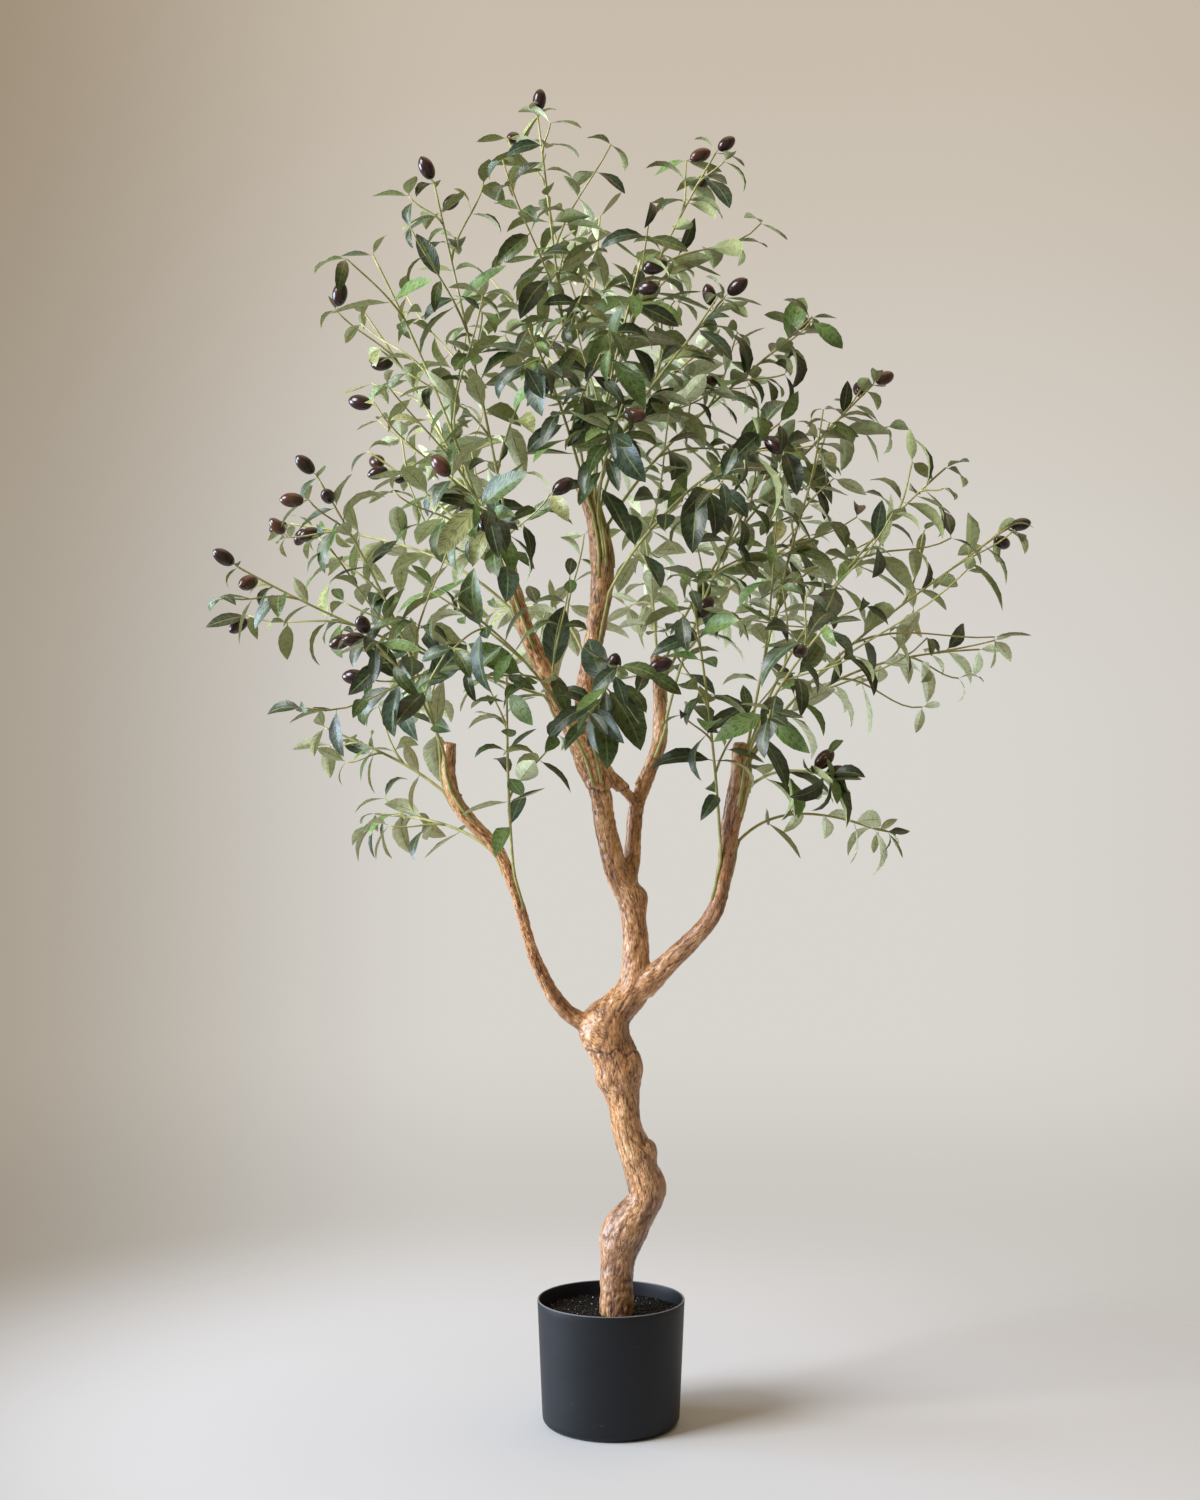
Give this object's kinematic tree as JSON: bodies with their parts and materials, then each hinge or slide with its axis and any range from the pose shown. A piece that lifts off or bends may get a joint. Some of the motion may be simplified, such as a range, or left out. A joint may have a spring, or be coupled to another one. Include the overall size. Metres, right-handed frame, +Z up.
{
  "type": "artificial olive tree",
  "caption": "Artificial olive tree with a twisting trunk, spreading boughs, sprays of long grey-green leaves and dark olives, set in a plain black nursery pot.",
  "frame": {"origin": "centre of the pot's flat underside, on the floor", "axes": "+Z up along the tree, +X to the side that the right bough leans to, -Y to the front"},
  "size_m": [1.1698, 0.8304, 1.83],
  "materials": {
    "pot": "satin black moulded plastic",
    "filler": "black gritty cement",
    "bark": "painted moulded bark, tan with brown pits",
    "leaf": "printed cloth leaves on wired stems"
  },
  "bodies": {
    "root": {"pot": "pot", "filler": "filler", "trunk": "bark", "bough_left": "bark", "bough_right": "bark", "bough_centre": "bark", "bough_upper_right": "bark", "bough_upper_left": "bark", "bough_bridge": "bark", "left_climber": "leaf", "left_front": "leaf", "left_out": "leaf", "left_low": "leaf", "left_inner": "leaf", "left_back": "leaf", "arm_left": "leaf", "shoulder_left": "leaf", "upper_left_low": "leaf", "upper_left_out": "leaf", "upper_left_high": "leaf", "upper_left_crown": "leaf", "upper_left_front": "leaf", "upper_left_back": "leaf", "crown_top": "leaf", "crown_right": "leaf", "crown_front": "leaf", "crown_inner": "leaf", "crown_out": "leaf", "crown_back": "leaf", "crown_back_right": "leaf", "crown_left_front": "leaf", "crown_middle": "leaf", "middle_right_front": "leaf", "centre_out": "leaf", "centre_back": "leaf", "centre_back_right": "leaf", "centre_inner": "leaf", "back_left": "leaf", "fork_front": "leaf", "fork_left_front": "leaf", "right_climber": "leaf", "right_out": "leaf", "right_back": "leaf", "right_high": "leaf", "right_front": "leaf", "right_inner": "leaf", "right_low": "leaf", "right_droop": "leaf"}
  },
  "joints": []
}
